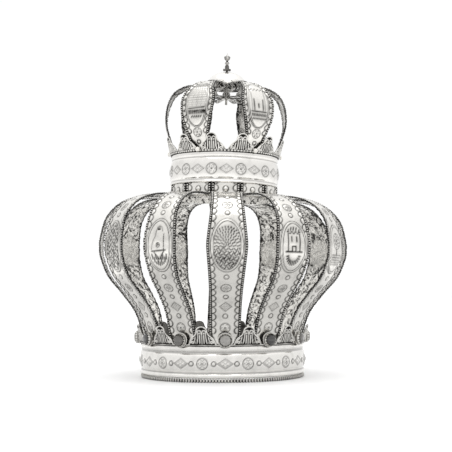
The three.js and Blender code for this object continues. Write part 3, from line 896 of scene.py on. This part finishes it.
def engrave_upper(work):
    band_motifs(work, 220.3, 59.5, (5.6, 7.4, 4.6, 0))
    for line, dark in ((208.9, 0.6), (232.8, 0.6)):
        work.cut(work.y - line, 0.5, 0.1, dark)


upper_band = chased_band(UPPER_FACE, UPPER_BACK, 400, [(55.5, 205), (57.9, 208), (59.2, 220), (56.9, 235),
                                                       (56, 238)], engrave_upper)
move_to(upper_band, lean(places(upper_band)))
finish_piece(upper_band, "upper_band_chased", polished_silver, "polished_silver", "upper_band")

# ---------------------------------------------------------------------------------------------
# Upper cresting: twelve smaller palmettes over a row of beads, cut from one strip.
UPPER_PALMETTE = [(0, 19.4), (2.4, 19), (4, 17.9), (5.1, 16.2), (5.7, 13.8), (6.3, 12), (7.8, 10.6),
                  (9.6, 9.2), (11.4, 7.4), (12.8, 5.6), (14, 3.8), (15.2, 2.4)]
upper_crest = cresting(UPPER_PALMETTE, 57.9, 0.335, 237.9, 54, 30, 0.96, beads=True)
finish_piece(upper_crest, "upper_cresting_chased", chased_silver, "chased_silver", "upper_cresting")

# ---------------------------------------------------------------------------------------------
# Six arches of the small crown: embossed and wired like the straps, each with a long oval
# picture, turned down under the dome and run in as narrow tongues to the rod.
ARCH_STATIONS = [[55.7, 237.9, 22], [57.6, 244.5, 22.4], [60.6, 252.5, 23.6], [64, 262.5, 29],
                 [66.3, 273, 35.4], [66.2, 284, 39.2], [63.6, 296, 39.8], [57.6, 307.4, 31],
                 [47.5, 314.6, 24], [37.5, 317.9, 15], [31.5, 316, 9.5], [29, 309.5, 8], [25.5, 305, 8],
                 [12, 306.4, 7.4], [3.3, 307.4, 3]]
ARCH_PLAQUE = (54.5, 13.5, 27.5)  # middle along the arch, half width, half height
ARCH_WIRED = 98  # the beaded wire ends here, and the bare tongue begins
ARCH_PICTURES = [gate, garden, tower, sheaf, flock, wall]
arch_path = Path(ARCH_STATIONS)
arch_blank = flat_plate(38, 150)
arch_beads = edge_beads(ARCH_WIRED)


def arch_chasing(picture):
    def decorate(work, edge):
        clear = oval(work.x, work.y - ARCH_PLAQUE[0], *ARCH_PLAQUE[1:])
        work.cut(np.where(work.y < 100, edge - 0.1, 9), 0.6, 0.3, 1.0)
        # Painted shade on the sheet under the beaded wires, seen between the beads.
        work.stain((edge < 0) & (work.y < 100), 1)
        scallops(work, edge, 20, 92, 6.2, 3.9, clear)
        rosette(work, 0, 21.5, 4.8)
        ringlet(work, 0, 11, 2.2)
        medallion(work, *ARCH_PLAQUE, picture, 0.75, 1.4)
        # Painted shade on the bare tongue, where it turns in under the dome.
        work.stain(np.clip((work.y - ARCH_WIRED) / 4, 0, 1), 0.5)
    return decorate


for number, picture in enumerate(ARCH_PICTURES, 1):
    embossed_strap(f"arch_{number}_chased", f"upper_strap_{number}", arch_path, arch_blank, arch_beads,
                   2 * pi * (number - 0.5) / 6, arch_chasing(picture), ARCH_PLAQUE)
bpy.data.objects.remove(arch_blank)
bpy.data.objects.remove(arch_beads)

# ---------------------------------------------------------------------------------------------
# Pearls: a flat half pearl pinned on the cresting at the foot of each arch.
pearl_glass = bpy.data.materials.new("pearl")
pearl_glass.use_nodes = True
shade = pearl_glass.node_tree.nodes["Principled BSDF"]
shade.inputs["Base Color"].default_value = srgb("E6E3DC")
shade.inputs["Roughness"].default_value = 0.2
shade.inputs["Coat Weight"].default_value = 0.5
half_pearl = spun([[0, 0], [2.5, 0], [2.6, 0.7], [2.2, 1.5], [1.4, 2.1], [0, 2.4]], 14)
for number in range(1, 7):
    pearl = copy_of(half_pearl)
    move_to(pearl, lean(on_base(places(half_pearl), 2 * pi * (number - 0.5) / 6, 60.7, 240.4)))
    finish_piece(pearl, f"half_pearl_{number}", pearl_glass, "pearl", f"pearl_{number}")
bpy.data.objects.remove(half_pearl)

# ---------------------------------------------------------------------------------------------
# Dome cap: raised from one disc of silver, its edge cut into six lobes that lie on the arches.
DOME_LINE = [[0, 333.5], [5, 333.2], [9, 332.2], [12.6, 330.8], [15.9, 329], [18.2, 326.9], [20, 324.4],
             [22.4, 321.6]]
dome = spun([[k, 1] for k in range(12)] + [[k, 0] for k in range(11, -1, -1)], 144)
flat = places(dome)
azimuth, index = polar(flat)
lobe = abs(np.sin(3 * azimuth))
edge_r, edge_z = 24.6 + 10.9 * lobe, 316.6 + 2.3 * lobe
line = np.array(DOME_LINE, float)
t = np.clip((index - 7) / 4, 0, 1)
radius = np.where(index < 7, np.interp(index, range(8), line[:, 0]), 22.4 + (edge_r - 22.4) * t)
height = np.where(index < 7, np.interp(index, range(8), line[:, 1]),
                  321.6 + (edge_z - 321.6) * t - 1.2 * lobe * t * (1 - t))
under = flat[:, 2] < 0.5
radius, height = np.where(under, radius * 0.965, radius), np.where(under, height - 1.0, height)
move_to(dome, lean(around(azimuth, radius, height)))
tarnish(dome, np.where(under, 0.2, 0) + np.where((index > 10.5) & ~under, 0.35, 0), under)
finish_piece(dome, "dome_raised", polished_silver, "polished_silver", "dome_cap")

# ---------------------------------------------------------------------------------------------
# Rod, nut and washer under the dome: turned silver-plated brass, the nut fluted for the fingers.
rod = spun([[0, 297.3], [1.3, 297.3], [1.5, 297.8], [1.5, 307.8], [4.1, 307.8], [4.4, 308.2], [4.3, 310],
            [3.4, 310.6], [3.4, 313.4], [1.5, 313.8], [1.5, 331.8], [0, 331.8]], 36)
points = places(rod)
azimuth, radius = polar(points)
flute = np.where((radius > 2) & (points[:, 2] < 310.4), 0.25 * np.cos(12 * azimuth), 0)
tarnish(rod, 0.3 + np.where(flute < -0.1, 0.5, 0))
move_to(rod, lean(around(azimuth, radius - 0.25 + flute * (radius > 2), points[:, 2])))
finish_piece(rod, "rod_and_nut", chased_silver, "chased_silver", "nut", angle=40)
disc = spun([[1.9, 303.3], [5.1, 303.3], [5.2, 303.6], [5.2, 304.6], [5.1, 304.9], [1.9, 304.9]], 32)
tarnish(disc, np.full(len(disc.data.vertices), 0.35))
move_to(disc, lean(places(disc)))
finish_piece(disc, "washer_turned", chased_silver, "chased_silver", "washer", angle=40)

# ---------------------------------------------------------------------------------------------
# Finial: a turned stem with a knop and a small tulip cup, on three scrolled feet.
stem = spun([[0, 333.8], [1.7, 333.8], [1.5, 334.6], [1.2, 336], [1.1, 341.4], [1.6, 342.4],
             [2.6, 343.4], [2.6, 344.2], [1.6, 345.2], [1, 345.8], [1.4, 346.8], [2.7, 347.8],
             [3.4, 349], [3.7, 351], [2.6, 351.6], [1.2, 352.2], [0.7, 353.4], [0, 355.4]], 24)
points = places(stem)
azimuth, radius = polar(points)
high = points[:, 2]
petal = np.where((high > 346.5) & (high < 351.4), 0.82 + 0.18 * abs(np.cos(1.5 * azimuth)), 1.0)
tarnish(stem, np.where((high > 345) & (high < 346.5), 1, 0.2) + np.where(petal < 0.88, 0.8, 0)
        + np.where(high < 342, 0.45, 0) + 0.4 * abs(np.sin(3 * azimuth)))
move_to(stem, lean(around(azimuth, radius * petal, high)))
SCROLL = [[0.8, 336.6], [2.4, 335.6], [3.9, 335.3], [4.7, 336.4], [4.3, 337.9], [3.2, 338],
          [2.9, 337.1], [2.3, 337.6], [2.3, 339.6], [2, 341.2], [1.2, 341.8], [0.8, 341.4]]
feet = []
for k in range(3):
    bpy.ops.object.select_all(action="DESELECT")
    bpy.ops.mesh.primitive_circle_add(vertices=len(SCROLL), radius=0.1, fill_type="NGON")
    foot_scroll = bpy.context.active_object
    move_to(foot_scroll, [[r, -0.7, z] for r, z in SCROLL])
    bpy.ops.object.mode_set(mode="EDIT")
    bpy.ops.mesh.select_all(action="SELECT")
    bpy.ops.mesh.extrude_region_move(TRANSFORM_OT_translate={"value": (0, 1.4 * MM, 0)})
    bpy.ops.object.mode_set(mode="OBJECT")
    close_up(foot_scroll)
    x, y, z = places(foot_scroll).T
    angle = k * 2 * pi / 3 + radians(30)
    tarnish(foot_scroll, np.clip((abs(y) - 0.3) * 3, 0.25, 0.8))
    turned = np.stack([x * cos(angle) - y * sin(angle), x * sin(angle) + y * cos(angle), z], -1)
    move_to(foot_scroll, lean(turned))
    feet.append(foot_scroll)
select_only(stem, *feet)
bpy.ops.object.join()
finish_piece(stem, "finial_turned", polished_silver, "polished_silver", "finial", angle=45)
